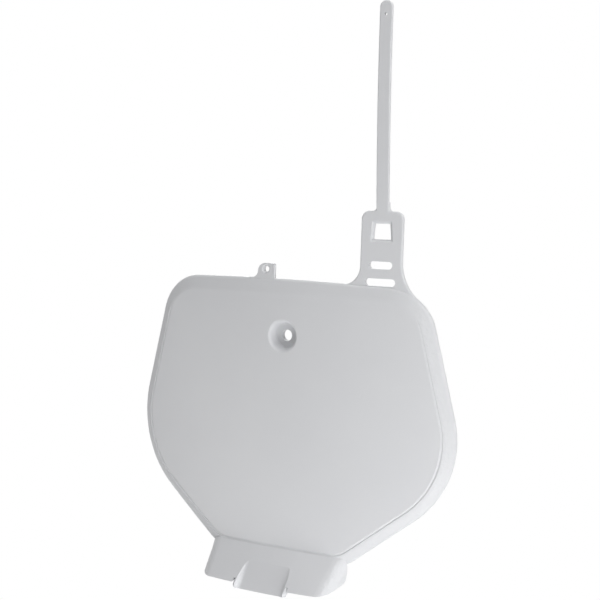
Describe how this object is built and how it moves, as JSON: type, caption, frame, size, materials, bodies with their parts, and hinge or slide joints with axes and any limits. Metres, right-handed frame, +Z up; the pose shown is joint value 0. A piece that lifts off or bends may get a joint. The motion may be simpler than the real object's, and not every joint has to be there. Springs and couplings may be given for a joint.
{
  "type": "motorbike number board",
  "caption": "Bowed front number board for a motocross bike: white moulded panel with a pressed field line, bolt dimple, channelled lower lip, cable lug and a slotted tab with its own strap.",
  "frame": {"origin": "middle of the bolt hole, at the floor of the dimple where the bolt seats", "axes": "+X to the right as seen from the front, -Y out of the front face towards the viewer, +Z up along the board towards the strap's tip"},
  "size_m": [0.2506, 0.0442, 0.4058],
  "materials": {
    "white_plastic": "semi-gloss moulded polypropylene"
  },
  "bodies": {
    "root": {"number_board": "white_plastic"}
  },
  "joints": []
}
